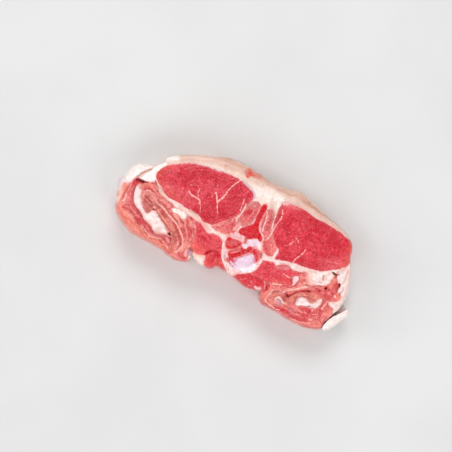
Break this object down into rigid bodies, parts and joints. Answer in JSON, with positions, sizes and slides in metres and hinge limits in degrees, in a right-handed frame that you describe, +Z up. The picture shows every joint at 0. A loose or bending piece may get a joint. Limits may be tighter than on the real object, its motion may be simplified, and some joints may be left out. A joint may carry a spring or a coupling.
{
  "type": "raw lamb chop",
  "caption": "Raw lamb loin chop sawn across the back, with the backbone between the loin eyes, tenderloins, rolled flanks and a fat cover, lying flat on its cut face.",
  "frame": {"origin": "centre of the bounding box in plan, on the surface that the chop lies on", "axes": "+X runs across the two loins, from the left flank to the right one; +Y points to the back, where the fat cover is; +Z is up, square to the cut faces"},
  "size_m": [0.1658, 0.0757, 0.0264],
  "materials": {
    "fat": "soft creamy fat, slightly moist",
    "lean_eye": "moist crimson lean cut across the grain, finely marbled",
    "lean_beside_spine": "moist rose lean with fine fat lines",
    "lean_tenderloin": "moist red lean, darker in the creases",
    "lean_flank": "moist salmon lean in thin sheets with pale membranes",
    "bone": "sawn bone, pale rim and red spongy marrow",
    "cartilage": "smooth milky cartilage"
  },
  "bodies": {
    "root": {"fat_cover": "fat", "fat_edge_left": "fat", "fat_edge_right": "fat", "fat_tab_right": "fat", "fat_seam_left": "fat", "fat_seam_right": "fat", "fat_core_left": "fat", "fat_nodule_left": "fat", "fat_nodule_right": "fat", "fat_lump_left": "fat", "fat_chunk_right": "fat", "fat_sliver_right": "fat", "loin_eye_left": "lean_eye", "loin_eye_right": "lean_eye", "multifidus_left_inner": "lean_beside_spine", "multifidus_left_outer": "lean_beside_spine", "multifidus_right_inner": "lean_beside_spine", "multifidus_right_outer": "lean_beside_spine", "tenderloin_left": "lean_tenderloin", "tenderloin_right": "lean_tenderloin", "psoas_minor_left": "lean_tenderloin", "psoas_minor_right": "lean_tenderloin", "flap_left_outer": "lean_flank", "flap_left_middle": "lean_flank", "flap_left_inner": "lean_flank", "flap_left_upper": "lean_flank", "flap_right_upper": "lean_flank", "flap_right_inner": "lean_flank", "flap_right_outer": "lean_flank", "vertebra": "bone", "cartilage_disc": "cartilage"}
  },
  "joints": []
}
